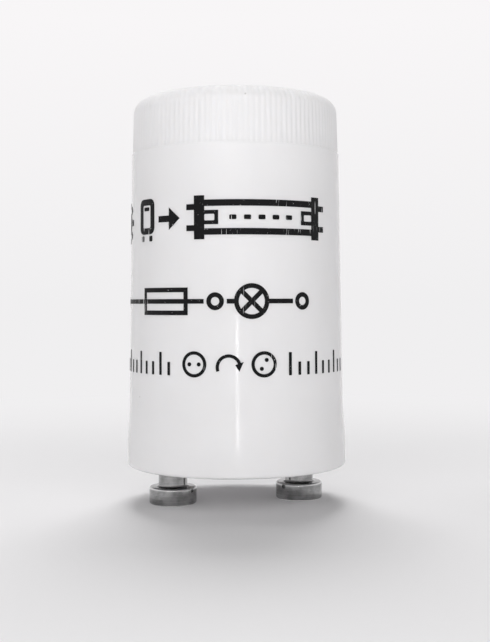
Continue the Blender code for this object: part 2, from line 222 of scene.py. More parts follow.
class StarterStage(bpy.types.PropertyGroup):
    """The camera, the lamps and the floor. The camera stands where the print's middle line faces."""

    camera_side: length("Camera side", "Camera's offset to the left of the print's line", 0.001307)
    camera_distance: length("Camera distance", "Camera's distance from the canister's axis", 0.10604)
    camera_height: length("Camera height", "Camera's height above the rim", 0.015909)
    camera_turn: angle("Camera turn", "Camera's turn to the right of the axis", 1.183)
    camera_dip: angle("Camera dip", "Camera's dip below level", 1.063)
    camera_roll: angle("Camera roll", "Camera's roll, clockwise", 0.223)
    lens: FloatProperty(name="Lens", description="Focal length", default=60.34, subtype="DISTANCE_CAMERA")
    floor_radius: length("Floor radius", "Radius of the floor", 3.0)
    fade_start: length("Fade start", "Distance where the floor starts to fade", 0.015)
    fade_end: length("Fade end", "Distance where it has become the background", 0.12)
    world_level: FloatProperty(name="World level", description="Light from all round", default=0.17)
    key_power: power("Key lamp", "Large lamp behind and above, whose shadow falls forwards", 1.42)
    sheen_power: power("Sheen lamp", "Weak lamp beside the key that gloss mirrors", 0.08)
    front_power: power("Front lamp", "Wide lamp behind the camera", 0.44)
    rim_power: power("Rim lamp", "Wide, shallow lamp that draws the pins' bright edges", 0.06)
    left_power: power("Left lamp", "Wide lamp to the camera's left", 0.31)
    right_power: power("Right lamp", "Wide lamp to the camera's right", 0.29)
    edge_power: power("Edge lamp", "Lamp beyond the left side that lifts its edge", 0.16)
    strip_power: power("Strip lamp", "Narrow upright lamp that draws the line of light", 0.0070)


def settings():
    """The starter's property groups, as a user has set them."""
    return bpy.context.scene.starter


class StarterSettings(bpy.types.PropertyGroup):
    """Everything about the starter that can be changed."""

    canister: PointerProperty(type=StarterCanisterSizes)
    pins: PointerProperty(type=StarterPinSizes)
    artwork: PointerProperty(type=StarterPrintSizes)
    colours: PointerProperty(type=StarterColours)
    stage: PointerProperty(type=StarterStage)


# Materials


def add_node(tree, kind, *values, inputs=None, **options):
    """Add a node, set its options, and fill its inputs, in their order or by name.

    An input takes a value, another node's output, or a node, whose first output in use is taken.
    """
    node = tree.nodes.new("ShaderNode" + kind)
    for name, option in options.items():
        setattr(node, name, option)
    in_use = [socket for socket in node.inputs if socket.enabled]
    named = [(node.inputs[name], value) for name, value in (inputs or {}).items()]
    for socket, value in [*zip(in_use, values), *named]:
        if isinstance(value, bpy.types.Node):
            value = next(output for output in value.outputs if output.enabled)
        if isinstance(value, bpy.types.NodeSocket):
            tree.links.new(value, socket)
        else:
            socket.default_value = value
    return node


def new_material(name):
    """A material, bare as yet. Returns it, what adds a node to it, and the object's own coordinates."""
    material = bpy.data.materials.new(name)
    material.use_nodes = True
    material.node_tree.nodes.clear()
    add = partial(add_node, material.node_tree)
    return material, add, add("TexCoord").outputs["Object"]


def per_mm(size_mm):
    """The scale of a pattern whose features are that many millimetres wide."""
    return 1 / (size_mm * MM)


def moulded_plastic():
    """White polycarbonate, injection moulded.

    Light goes a little way into it, which softens the ribs. The cavity was turned and polished
    round its axis, so a lamp's reflection is narrow across the canister and long up it.
    """
    material, add, place = new_material("moulded_polycarbonate")
    palette = settings().colours
    height = add("SeparateXYZ", place).outputs["Z"]
    crown_z = TOP_Z - settings().canister.crown_height
    # Painted light: the crown is thin and lit through the roof, so its colour is painted whiter than the
    # wall below it
    lit = add("MapRange", height, crown_z - 4 * MM, crown_z + MM)
    white = add("Mix", lit, palette.plastic[:], palette.crown[:], data_type="RGBA")
    # The melt has clouds 7 mm wide, 3.5 % of the way to the specks' colour. The specks are 0.2 mm
    # wide and 55 % of that colour, each in one of the few cells of 3.2 mm whose random shade is high
    clouds = add("TexNoise", place, per_mm(7.0))
    cloud = add("MapRange", clouds, *NARROW_SPREAD, 0.0, 0.035)
    base = add("Mix", cloud, white, palette.speck[:], data_type="RGBA")
    cells = add("TexVoronoi", place, per_mm(3.2)).outputs
    dot = add("MapRange", cells["Distance"], 0.022, 0.034, 1.0, 0.0)
    rare = add("Math", cells["Color"], 0.62, operation="GREATER_THAN")
    rare_dot = add("Math", dot, rare, operation="MULTIPLY")
    speck = add("Math", rare_dot, 0.55, operation="MULTIPLY")
    base = add("Mix", speck, base, palette.speck[:], data_type="RGBA")
    ripple = add("TexNoise", place, per_mm(1.3), 3.0)
    # The mould's fine ribs were spark-eroded and left satin, the plain wall was polished
    satin = add("MapRange", height, crown_z - 0.05 * MM, crown_z, 0.0, 0.16)
    polish = add("TexNoise", place, per_mm(0.9))
    gloss = add("MapRange", polish, *WIDE_SPREAD, 0.13, 0.16)
    finish = {
        "Base Color": base,
        "Roughness": add("Math", gloss, satin, operation="ADD"),
        "IOR": 1.585,
        "Subsurface Weight": 0.4,
        "Subsurface Radius": (1.0, 0.96, 0.92),
        "Subsurface Scale": 0.0010,
        "Anisotropic": 0.8,
        "Anisotropic Rotation": 0.25,
        "Normal": add("Bump", inputs={"Height": ripple, "Distance": 0.0022 * MM}),
    }
    add("OutputMaterial", add("BsdfPrincipled", inputs=finish))
    return material


def bright_nickel():
    """Turned brass with bright nickel plating, still a mirror under the lathe's fine rings.

    The head's upper edge is kept bright, as wear from the holder's springs and as a painted highlight.
    The face above it is darkened as painted shade, so the pin shows a bright line against a dark ring.
    """
    material, add, place = new_material("bright_nickel_plating")
    palette, pins = settings().colours, settings().pins
    parts = add("SeparateXYZ", place).outputs
    side = add("Math", parts["X"], operation="ABSOLUTE")
    across = add("Math", side, PIN_X, operation="SUBTRACT")
    from_axis = add("CombineXYZ", across, parts["Y"])
    radius = add("VectorMath", from_axis, operation="LENGTH").outputs["Value"]
    ring_place = add("CombineXYZ", radius, 0.0, parts["Z"])
    # Real turning marks are about 0.02 mm apart, drawn at 0.05 mm so that they show
    rings = add("TexNoise", ring_place, per_mm(0.05), 3.0)
    patches = add("TexNoise", place, per_mm(1.1), 5.0)
    # The patches are 38 to 62 % tarnished, and the rings take up to 14 % away or add up to 20 %
    stain = add("MapRange", patches, 0.38, 0.6, 0.38, 0.62)
    marks = add("MapRange", rings, *NARROW_SPREAD, -0.14, 0.20)
    dull = add("Math", stain, marks, operation="ADD")
    # Within 0.04 mm of the head's upper edge a tenth of the tarnished share is left, and past 0.1 mm all
    # of it: wear, and a painted highlight
    head_top = PIN_FOOT_Z + pins.head_thickness
    edge_z = head_top - pins.head_round * 0.6
    over_edge = add("Math", parts["Z"], edge_z, operation="SUBTRACT")
    from_edge = add("Math", over_edge, operation="ABSOLUTE")
    away_from_worn_glint_edge = add("MapRange", from_edge, 0.04 * MM, 0.10 * MM, 0.1, 1.0)
    dull = add("Math", dull, away_from_worn_glint_edge, operation="MULTIPLY")
    # Painted shade darkens the head's upper face, and ends a little way up the neck
    above = add("MapRange", parts["Z"], head_top - 0.03 * MM, head_top, 0.0, 0.85)
    below = add("MapRange", parts["Z"], head_top + 0.05 * MM, head_top + 0.15 * MM, 1.0, 0.0)
    painted_face_shade = add("Math", above, below, operation="MULTIPLY")
    dark = add("Math", dull, painted_face_shade, operation="MAXIMUM")
    finish = {
        "Base Color": add("Mix", dark, palette.nickel[:], palette.tarnish_and_painted_shade[:], data_type="RGBA"),
        "Metallic": 1.0,
        "Roughness": add("MapRange", patches, 0.35, 0.7, 0.06, 0.14),
        "Normal": add("Bump", inputs={"Height": rings, "Distance": 0.0008 * MM}),
    }
    add("OutputMaterial", add("BsdfPrincipled", inputs=finish))
    return material


def printing_ink():
    """Black pad-printing ink: nearly matt, a little thin, with scuffs that let the white through."""
    material, add, place = new_material("pad_printing_ink")
    palette = settings().colours
    # Real pin-holes and scratches are finer, drawn 0.13 and 0.07 mm wide so that they show.
    # The scratches lie in patches that handling has rubbed, and 80 % of the white shows through
    pores = add("TexNoise", place, per_mm(0.13), 1.0)
    pin_holes = add("MapRange", pores, 0.74, 0.79)
    turn, stretch = (0.0, math.radians(38), 0.0), (1.0, 0.3, 0.05)
    slanted = add("Mapping", place, inputs={"Rotation": turn, "Scale": stretch})
    hairs = add("TexNoise", slanted, per_mm(0.07), 0.0)
    lines = add("MapRange", hairs, 0.73, 0.79)
    handling = add("TexNoise", place, per_mm(3.4), 1.0)
    rubbed = add("MapRange", handling, 0.54, 0.6)
    scratches = add("Math", lines, rubbed, operation="MULTIPLY")
    worn = add("Math", pin_holes, scratches, operation="MAXIMUM")
    share = add("Math", worn, 0.8, operation="MULTIPLY")
    film = add("TexNoise", place, per_mm(0.5))
    texture = add("TexNoise", place, per_mm(0.2))
    finish = {
        "Base Color": add("Mix", share, palette.ink[:], palette.plastic[:], data_type="RGBA"),
        "Roughness": add("MapRange", film, *WIDE_SPREAD, 0.38, 0.5),
        "IOR": 1.5,
        "Specular IOR Level": 0.1,
        "Normal": add("Bump", inputs={"Height": texture, "Distance": 0.002 * MM}),
    }
    add("OutputMaterial", add("BsdfPrincipled", inputs=finish))
    return material


def drawn_glass():
    """Clear drawn glass of the fuse tube, with faint waves along it."""
    material, add, place = new_material("drawn_glass")
    haze = add("TexNoise", place, per_mm(1.5))
    waves = add("TexNoise", place, per_mm(2.0))
    finish = {
        "Base Color": settings().colours.glass[:],
        "Roughness": add("MapRange", haze, *WIDE_SPREAD, 0.0, 0.03),
        "IOR": 1.52,
        "Transmission Weight": 1.0,
        "Normal": add("Bump", inputs={"Height": waves, "Distance": 0.002 * MM}),
    }
    add("OutputMaterial", add("BsdfPrincipled", inputs=finish))
    return material


def dull_metal(name, base, patch_mm, roughness, depth_mm):
    """A soft metal with a satin skin, brighter and duller in patches."""
    material, add, place = new_material(name)
    patches = add("TexNoise", place, per_mm(patch_mm), 3.0)
    share = add("MapRange", patches, 0.4, 0.7, 0.0, 0.6)
    dark = (*(value * 0.7 for value in base[:3]), 1.0)
    finish = {
        "Base Color": add("Mix", share, base[:], dark, data_type="RGBA"),
        "Metallic": 1.0,
        "Roughness": add("MapRange", patches, *WIDE_SPREAD, *roughness),
        "Normal": add("Bump", inputs={"Height": patches, "Distance": depth_mm * MM}),
    }
    add("OutputMaterial", add("BsdfPrincipled", inputs=finish))
    return material


def tinned_wire():
    """Hot-tinned copper wire: a bright tin skin with slight runs."""
    return dull_metal("tinned_copper", settings().colours.tin, 0.4, (0.2, 0.35), 0.004)


def soft_solder():
    """Soft solder, cooled to a satin skin with a fine crystal grain."""
    return dull_metal("soft_solder", settings().colours.solder, 0.15, (0.28, 0.45), 0.006)


# Modelling


def leave_edit_mode():
    """Go back to object mode with nothing selected."""
    if bpy.context.object and bpy.context.object.mode != "OBJECT":
        bpy.ops.object.mode_set(mode="OBJECT")
    bpy.ops.object.select_all(action="DESELECT")


def take_up(piece):
    """Make a piece the only selected one."""
    leave_edit_mode()
    piece.select_set(True)
    bpy.context.view_layer.objects.active = piece


def edit_all():
    """Go to edit mode with everything selected."""
    bpy.ops.object.mode_set(mode="EDIT")
    bpy.ops.mesh.select_all(action="SELECT")


def polar(across, up, reach, degrees):
    """The point that far from a middle, at that angle."""
    turn = math.radians(degrees)
    return across + reach * math.cos(turn), up + reach * math.sin(turn)


def arc(across, up, radius, start, end, steps):
    """Points on an arc, from one angle in degrees to another, both included."""
    turns = [start + (end - start) * step / steps for step in range(steps + 1)]
    return [polar(across, up, radius, degrees) for degrees in turns]


def draw_outline(name, points):
    """Draw an outline in the XZ plane, corner by corner, by extruding a single vertex."""
    leave_edit_mode()
    bpy.ops.mesh.primitive_plane_add(size=START_SIZE, location=(points[0][0], 0.0, points[0][1]))
    piece = bpy.context.object
    piece.name = name
    piece.data.name = name
    edit_all()
    bpy.ops.mesh.merge(type="CENTER")
    for (from_r, from_z), (to_r, to_z) in zip(points, points[1:]):
        step = (to_r - from_r, 0.0, to_z - from_z)
        bpy.ops.mesh.extrude_region_move(TRANSFORM_OT_translate={"value": step})
    bpy.ops.object.mode_set(mode="OBJECT")
    return piece


def turn_on_axis(piece, steps):
    """Spin an outline round Z into a closed solid, welded and facing outwards."""
    take_up(piece)
    bpy.ops.object.transform_apply(location=True, rotation=False, scale=False)
    edit_all()
    bpy.ops.mesh.spin(steps=steps, angle=2 * math.pi, center=(0.0, 0.0, 0.0), axis=(0.0, 0.0, 1.0))
    bpy.ops.mesh.select_all(action="SELECT")
    bpy.ops.mesh.remove_doubles(threshold=WELD)
    bpy.ops.mesh.normals_make_consistent(inside=False)
    bpy.ops.object.mode_set(mode="OBJECT")


def finish_piece(piece, material):
    """Shade a piece, give it its material, and let it ride with the starter."""
    take_up(piece)
    bpy.ops.object.shade_smooth_by_angle(angle=SHARP_ANGLE)
    piece.data.materials.clear()
    piece.data.materials.append(material)
    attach(piece, BODY)


def ease(share):
    """A smooth step from 0 to 1."""
    share = min(max(share, 0.0), 1.0)
    return share * share * (3 - 2 * share)


# Canister


def canister_heights(sizes):
    """Heights of the flare's foot and top, and of the crown's foot."""
    land_z = RIM_Z + sizes.mouth_land
    return land_z, land_z + sizes.flare_height, TOP_Z - sizes.crown_height


def canister_radii(sizes):
    """Radii of the body above the flare, of the shoulder, of the crown's foot and of its top."""
    flare_top, crown_z = canister_heights(sizes)[1:]
    body = MOUTH_RADIUS - sizes.flare_step
    shoulder = body - (crown_z - flare_top) * math.tan(sizes.body_draft)
    foot = shoulder - sizes.crown_step
    crown = foot - (sizes.crown_height - sizes.crown_fillet) * math.tan(sizes.crown_draft)
    return body, shoulder, foot, crown


def canister_outside(sizes):
    """The canister's outer outline, from the centre of its roof down to the rim."""
    land_z, _, crown_z = canister_heights(sizes)
    shoulder, foot, crown = canister_radii(sizes)[1:]
    edge, rim = sizes.crown_fillet, sizes.rim_round
    groove_start = crown_z + sizes.rib_run_out
    flare = []
    for step in range(FLARE_STEPS + 1):
        share = 1 - step / FLARE_STEPS
        flare.append((MOUTH_RADIUS - sizes.flare_step * ease(share), land_z + sizes.flare_height * share))
    return [
        (0.0, TOP_Z),
        *arc(crown - edge, TOP_Z - edge, edge, 90, 0, ROOF_STEPS),
        ((foot + crown) / 2, (groove_start + TOP_Z - edge) / 2),
        (foot, groove_start),
        (foot, crown_z),
        (shoulder, crown_z),
        *flare,
        *arc(MOUTH_RADIUS - rim, RIM_Z + rim, rim, 0, -90, EDGE_STEPS),
    ]


def canister_inside(sizes):
    """The inner outline, from the rim up past the snap groove and the stop ribs to the roof."""
    flare_top, crown_z = canister_heights(sizes)[1:]
    body, shoulder, _, crown = canister_radii(sizes)
    bore = body - sizes.wall
    groove = bore + sizes.snap_depth
    groove_low, groove_high = sizes.snap_z - sizes.snap_reach, sizes.snap_z + sizes.snap_reach
    roof_z = TOP_Z - sizes.roof
    stop_end = sizes.stop_z + sizes.stop_rib_length
    fillet = sizes.inner_fillet
    stop_bore = bore + (shoulder - body) * (stop_end - flare_top) / (crown_z - flare_top)
    return [
        (bore, RIM_Z),
        (bore, groove_low),
        (groove, groove_low + sizes.snap_depth),
        (groove, groove_high - sizes.snap_depth),
        (bore, groove_high),
        (bore, sizes.stop_z - NEAR),
        (bore, sizes.stop_z),
        (bore, flare_top),
        (stop_bore, stop_end),
        (stop_bore, stop_end + NEAR),
        (shoulder - sizes.wall, crown_z),
        *arc(crown - sizes.wall - fillet, roof_z - fillet, fillet, 0, 90, INNER_STEPS),
        (0.0, roof_z),
    ]


def press_crown_ribs(piece, sizes):
    """Sink the grooves between the ribs along the surface's own normal, fading out on the roof's edge."""
    crown = canister_radii(sizes)[3]
    centre_r = crown - sizes.crown_fillet
    centre_z = TOP_Z - sizes.crown_fillet
    lowest = TOP_Z - sizes.crown_height + sizes.rib_run_out - NEAR
    inner_limit = crown - sizes.wall + NEAR
    for vertex in piece.data.vertices:
        radius = math.hypot(vertex.co.x, vertex.co.y)
        rise = max(vertex.co.z - centre_z, 0.0)
        on_edge = math.hypot(radius - centre_r, rise) > sizes.crown_fillet - NEAR
        if vertex.co.z < lowest or radius < centre_r or not (on_edge or radius > inner_limit):
            continue
        lean = math.atan2(radius - centre_r, rise)
        turn = math.atan2(vertex.co.y, vertex.co.x)
        groove = (1 - math.cos(turn * sizes.rib_count)) / 2
        sunk = sizes.rib_depth * groove * ease(lean / RIB_FADE)
        scale = 1 - sunk * math.sin(lean) / radius
        vertex.co.x *= scale
        vertex.co.y *= scale
        vertex.co.z -= sunk * math.cos(lean) if rise > 0 else 0.0


def raise_stop_ribs(piece, sizes):
    """Bring the wall in where the ribs that stop the base stand."""
    bore = canister_radii(sizes)[0] - sizes.wall
    low, high = sizes.stop_z - NEAR / 2, sizes.stop_z + sizes.stop_rib_length + NEAR / 2
    spacing = 2 * math.pi / sizes.stop_rib_count
    half_turn = sizes.stop_rib_width / 2 / bore
    for vertex in piece.data.vertices:
        radius = math.hypot(vertex.co.x, vertex.co.y)
        turn = (math.atan2(vertex.co.y, vertex.co.x) % spacing) - spacing / 2
        if low < vertex.co.z < high and radius < bore + NEAR and abs(turn) < half_turn:
            vertex.co.x *= (bore - sizes.stop_rib_depth) / radius
            vertex.co.y *= (bore - sizes.stop_rib_depth) / radius


class StarterAddCanister(bpy.types.Operator):
    """Model the canister with its ribbed crown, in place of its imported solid"""

    bl_idname = "starter.add_canister"
    bl_label = "Add Canister"

    def execute(self, context):
        sizes = settings().canister
        piece = draw_outline("canister_shell", canister_outside(sizes) + canister_inside(sizes))
        turn_on_axis(piece, sizes.rib_count * sizes.steps_per_rib)
        press_crown_ribs(piece, sizes)
        raise_stop_ribs(piece, sizes)
        finish_piece(piece, moulded_plastic())
        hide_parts("canister")
        return {"FINISHED"}


# Contact pins


def pin_outline(sizes):
    """A pin's outline, from the bore's floor over the riveted end down to the head's end face."""
    seat_z = -sizes.seat_gap
    collar_z = seat_z - sizes.collar_thickness
    rivet_foot = PIN_END_Z - sizes.rivet_thickness
    bore_floor = PIN_END_Z - sizes.bore_depth
    head_top = PIN_FOOT_Z + sizes.head_thickness
    head, rivet, collar, neck = sizes.head_round, sizes.rivet_round, sizes.collar_round, sizes.neck_fillet
    collar_r = sizes.collar_radius - collar
    return [
        (0.0, bore_floor),
        (sizes.bore_radius, bore_floor),
        (sizes.bore_radius, PIN_END_Z),
        *arc(sizes.rivet_radius - rivet, PIN_END_Z - rivet, rivet, 90, 0, INNER_STEPS),
        (sizes.rivet_radius, rivet_foot),
        (sizes.shank_radius, rivet_foot),
        (sizes.shank_radius, seat_z),
        *arc(collar_r, seat_z - collar, collar, 90, 0, FINE_STEPS),
        *arc(collar_r, collar_z + collar, collar, 0, -90, FINE_STEPS),
        (sizes.neck_radius, collar_z),
        *arc(sizes.neck_radius + neck, head_top + neck, neck, 180, 270, EDGE_STEPS),
        *arc(HEAD_RADIUS - head, head_top - head, head, 90, 0, EDGE_STEPS),
        *arc(HEAD_RADIUS - head, PIN_FOOT_Z + head, head, 0, -90, EDGE_STEPS),
        (0.0, PIN_FOOT_Z),
    ]


class StarterAddPins(bpy.types.Operator):
    """Turn the two contact pins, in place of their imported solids"""

    bl_idname = "starter.add_pins"
    bl_label = "Add Contact Pins"

    def execute(self, context):
        sizes = settings().pins
        metal = bright_nickel()
        right = draw_outline("turned_pin_right", pin_outline(sizes))
        turn_on_axis(right, sizes.steps)
        take_up(right)
        bpy.ops.object.duplicate()
        left = context.object
        left.name = "turned_pin_left"
        left.data.name = "turned_pin_left"
        for piece, x, node in ((right, PIN_X, "contact_pin_right"), (left, -PIN_X, "contact_pin_left")):
            take_up(piece)
            bpy.ops.transform.translate(value=(x, 0.0, 0.0))
            bpy.ops.object.transform_apply(location=True, rotation=False, scale=False)
            finish_piece(piece, metal)
            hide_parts(node)
        return {"FINISHED"}


# Print: flat loops of (along, up) points, in metres


def rounded_box(left, low, right, high, corner):
    """A loop round a box with rounded corners."""
    return [
        *arc(right - corner, high - corner, corner, 90, 0, FINE_STEPS),
        *arc(right - corner, low + corner, corner, 0, -90, FINE_STEPS),
        *arc(left + corner, low + corner, corner, -90, -180, FINE_STEPS),
        *arc(left + corner, high - corner, corner, 180, 90, FINE_STEPS),
    ]


def circle(along, up, radius):
    """A loop round a disc."""
    return arc(along, up, radius, 0, 360 - 360 / CIRCLE_STEPS, CIRCLE_STEPS - 1)


def frame_of(left, low, right, high, corner, stroke):
    """The two loops of a rounded frame."""
    inner = max(corner - stroke, stroke / 4)
    return [
        rounded_box(left, low, right, high, corner),
        rounded_box(left + stroke, low + stroke, right - stroke, high - stroke, inner),
    ]


def ring_of(along, up, radius, stroke):
    """A plain ring."""
    return [circle(along, up, radius), circle(along, up, radius - stroke)]


def light_picture(along, low, height, stroke):
    """A lit lamp: a ring with short rays round it."""
    up = low + height / 2
    ring = height * 0.27
    near, far = ring + stroke * 0.6, height / 2
    rays = 8
    loops = ring_of(along, up, ring, stroke)
    for number in range(rays):
        turn = math.radians(360 / rays * number)
        ray = []
        for reach, side in ((near, -1), (far, -1), (far, 1), (near, 1)):
            half = side * stroke / 2
            x = along + reach * math.cos(turn) - half * math.sin(turn)
            ray.append((x, up + reach * math.sin(turn) + half * math.cos(turn)))
        loops.append(ray)
    return loops


def starter_picture(left, low, right, height, stroke):
    """The starter itself from the side: a canister on two pins."""
    foot = height * 0.17
    middle = (left + right) / 2
    pin = stroke * 0.8
    reach = (right - left) * 0.28
    corner = stroke / 6
    loops = frame_of(left, low + foot, right, low + height, stroke, stroke)
    for x in (middle - reach, middle + reach):
        loops.append(rounded_box(x - pin / 2, low, x + pin / 2, low + foot - stroke * 0.25, corner))
    band = low + height * 0.72
    inset = stroke * 1.35
    loops.append(rounded_box(left + inset, band, right - inset, band + stroke * 0.6, corner))
    return loops


def arrow_picture(left, low, right, height, stroke):
    """An arrow that points to the right."""
    up = low + height / 2
    neck = right - (right - left) * 0.48
    half = height * 0.26
    upper = [(left, stroke / 2), (neck, stroke / 2), (neck, half)]
    lower = [(along, -rise) for along, rise in reversed(upper)]
    return [[(along, up + rise) for along, rise in [*upper, (right, 0.0), *lower]]]


def both_ends(corners, left, right, up):
    """A loop from its upper left corners, given along the row and above the loop's middle."""
    end = corners + [(along, -rise) for along, rise in reversed(corners)]
    other_end = [(left + right - along, -rise) for along, rise in end]
    return [(along, up + rise) for along, rise in end + other_end]


def lamp_picture(left, low, right, height, stroke):
    """A tubular lamp between its two caps, with pins, heating wires and the light's path."""
    up = low + height / 2
    cap_left = left + stroke * 1.3
    inner_left = cap_left + stroke * 1.7
    inner_right = left + right - inner_left
    pin_place, pin_half = height * 0.24, stroke * 0.45
    tube_half = height * 0.40
    outline = [
        (inner_left, tube_half),
        (inner_left, height / 2),
        (cap_left, height / 2),
        (cap_left, pin_place + pin_half),
        (left, pin_place + pin_half),
        (left, pin_place - pin_half),
        (cap_left, pin_place - pin_half),
    ]
    # The bare inside goes round the heating wires, which stand out from both caps
    wire_half, wire_reach, thin = stroke * 1.1, stroke * 2.2, stroke * 0.6
    inside = [
        (inner_left, tube_half - stroke),
        (inner_left, wire_half),
        (inner_left + wire_reach, wire_half),
    ]
    loops = [both_ends(outline, left, right, up), both_ends(inside, left, right, up)]
    corner = stroke / 6
    bare, bare_half = wire_reach - thin, wire_half - thin
    for x in (inner_left, inner_right - bare):
        loops.append(rounded_box(x, up - bare_half, x + bare, up + bare_half, corner))
    gap, clear, dash_half = stroke * 1.15, stroke * 3.9, stroke * 0.36
    dashes = 5
    dash = (inner_right - inner_left - 2 * clear - gap * (dashes - 1)) / dashes
    for number in range(dashes):
        x = inner_left + clear + number * (dash + gap)
        loops.append(rounded_box(x, up - dash_half, x + dash, up + dash_half, corner))
    return loops


def crossed_ring(along, up, radius, stroke, left, right):
    """A lamp's sign in a wiring plan: a crossed ring with a wire to each side."""
    low, high = up - stroke / 2, up + stroke / 2
    half = math.degrees(math.asin(stroke / 2 / radius))
    loops = [
        [
            *arc(along, up, radius, half, 180 - half, HALF_RING_STEPS),
            (left, high),
            (left, low),
            *arc(along, up, radius, 180 + half, 360 - half, HALF_RING_STEPS),
            (right, low),
            (right, high),
        ]
    ]
    inner = radius - stroke
    tip = stroke / 2 / math.sin(math.radians(45))
    spread = 45 - math.degrees(math.asin(stroke / 2 / inner))
    for facing in (0, 90, 180, 270):
        edge = arc(along, up, inner, facing - spread, facing + spread, CORNER_STEPS)
        loops.append([polar(along, up, tip, facing), *edge])
    return loops


def fuse_sign(box_left, box_right, up, height, stroke, left, right):
    """A fuse's sign in a wiring plan: a box with the wire running through it."""
    half = stroke / 2
    quarter = [(left, half), (box_left, half), (box_left, height / 2)]
    upper = quarter + [(box_right, height / 2), (box_right, half), (right, half)]
    outer = upper + [(along, -rise) for along, rise in reversed(upper)]
    loops = [[(along, up + rise) for along, rise in outer]]
    near, far = box_left + stroke, box_right - stroke
    for low, high in ((up - height / 2 + stroke, up - half), (up + half, up + height / 2 - stroke)):
        loops.append([(near, high), (far, high), (far, low), (near, low)])
    return loops


def pin_view(along, up, radius, stroke, degrees):
    """The starter seen from below: a ring with its two pins, turned by that angle."""
    loops = ring_of(along, up, radius, stroke)
    reach = (radius - stroke) * 0.52
    dot = stroke * 0.62
    for side in (0, 180):
        loops.append(circle(*polar(along, up, reach, degrees + side), dot))
    return loops


def turning_arrow(along, up, radius, stroke):
    """An arrow bent round to the right."""
    inner = radius - stroke
    middle = (radius + inner) / 2
    half = stroke * 1.35
    # The bend's ends and the head's length, in degrees
    start, end, head = 200, 20, 42
    corners = ((middle + half, end), (middle, end - head), (middle - half, end))
    tip = [polar(along, up, reach, degrees) for reach, degrees in corners]
    outer = arc(along, up, radius, start, end, BEND_STEPS)
    return [[*outer, *tip, *arc(along, up, inner, end, start, BEND_STEPS)]]


def tick_marks(left, low, height, stroke, count, first):
    """A row of upright marks. Each third is longer, and the row starts at that place among three."""
    loops = []
    pitch = 0.00102
    for number in range(count):
        rise = height * 0.58 if (number + first) % 3 else height
        x = left + number * pitch
        loops.append(rounded_box(x, low, x + stroke, low + rise, stroke / 5))
    return loops


def bold_row(sizes):
    """The bold row: a lit lamp, the starter, an arrow and the tubular lamp that it goes with."""
    low, height, stroke = sizes.bold_z, sizes.bold_height, sizes.bold_stroke
    light = -0.0149
    starter_left, starter_right = -0.0109, -0.0085
    arrow_left, arrow_right = -0.0079, -0.0054
    lamp_left, lamp_right = -0.0047, 0.0092
    return [
        *light_picture(light, low, height, stroke),
        *starter_picture(starter_left, low, starter_right, height, stroke),
        *arrow_picture(arrow_left, low, arrow_right, height, stroke),
        *lamp_picture(lamp_left, low, lamp_right, height, stroke),
    ]


def wiring_row(sizes):
    """The wiring plan: a fuse and a lamp between two terminals."""
    height, stroke = sizes.wiring_height, sizes.wiring_stroke
    up = sizes.wiring_z + height / 2
    ring = height * 0.25
    # A wire ends this far from a terminal's middle
    clear = ring + stroke * 0.6
    left, split, right = -0.0165, -0.0020, 0.0071 - ring
    fuse_left, fuse_right, fuse_height = -0.0101, -0.0046, height * 0.78
    lamp = 0.0013
    return [
        *ring_of(left, up, ring, stroke),
        *fuse_sign(fuse_left, fuse_right, up, fuse_height, stroke, left + clear, split - clear),
        *ring_of(split, up, ring, stroke),
        *crossed_ring(lamp, up, height / 2, stroke, split + clear, right - clear),
        *ring_of(right, up, ring, stroke),
    ]


def turning_row(sizes):
    """The turning scale: marks on both sides of the plug-in and turn pictures."""
    low, height, stroke = sizes.turn_z, sizes.turn_height, sizes.turn_stroke
    up = low + height / 2
    ring = height * 0.56
    left_marks, plugged_in, arrow, turned, right_marks = -0.0160, -0.0040, -0.0008, 0.0024, 0.0048
    return [
        *tick_marks(left_marks, low, height, stroke, count=10, first=1),
        *pin_view(plugged_in, up, ring, stroke, degrees=0),
        *turning_arrow(arrow, up - height * 0.12, ring, stroke),
        *pin_view(turned, up, ring, stroke, degrees=60),
        *tick_marks(right_marks, low, height, stroke, count=9, first=0),
    ]


def surface_radius(sizes, z):
    """The canister's outer radius at a height between the flare and the crown."""
    flare_top, crown_z = canister_heights(sizes)[1:]
    body, shoulder = canister_radii(sizes)[:2]
    return body + (shoulder - body) * (z - flare_top) / (crown_z - flare_top)


def cut_flat_ink(name, loops, thickness):
    """A thin flat sheet of ink inside the loops, lying in the XY plane."""
    leave_edit_mode()
    curve = bpy.data.curves.new(name, "CURVE")
    curve.dimensions = "2D"
    curve.fill_mode = "BOTH"
    curve.extrude = thickness / 2
    for loop in loops:
        spline = curve.splines.new("POLY")
        spline.points.add(len(loop) - 1)
        for point, (along, up) in zip(spline.points, loop):
            point.co = (along / MM, up / MM, 0.0, 1.0)
        spline.use_cyclic_u = True
    piece = bpy.data.objects.new(name, curve)
    bpy.context.scene.collection.objects.link(piece)
    take_up(piece)
    bpy.ops.object.convert(target="MESH")
    piece = bpy.context.object
    piece.scale = (MM, MM, 1.0)
    bpy.ops.object.transform_apply(location=False, rotation=False, scale=True)
    return piece


def cut_into_strips(piece, step):
    """Cut a flat sheet across at equal steps, so that it can bend."""
    take_up(piece)
    places = [vertex.co.x for vertex in piece.data.vertices]
    first = math.ceil(min(places) / step)
    last = math.floor(max(places) / step)
    edit_all()
    bpy.ops.mesh.remove_doubles(threshold=WELD)
    for number in range(first, last + 1):
        bpy.ops.mesh.select_all(action="SELECT")
        bpy.ops.mesh.bisect(plane_co=(number * step, 0.0, 0.0), plane_no=(1.0, 0.0, 0.0))
    # The fill leaves faces without area along straight edges, which the cuts divide
    bpy.ops.mesh.select_all(action="SELECT")
    bpy.ops.mesh.remove_doubles(threshold=WELD)
    bpy.ops.mesh.dissolve_degenerate(threshold=WELD)
    bpy.ops.object.mode_set(mode="OBJECT")


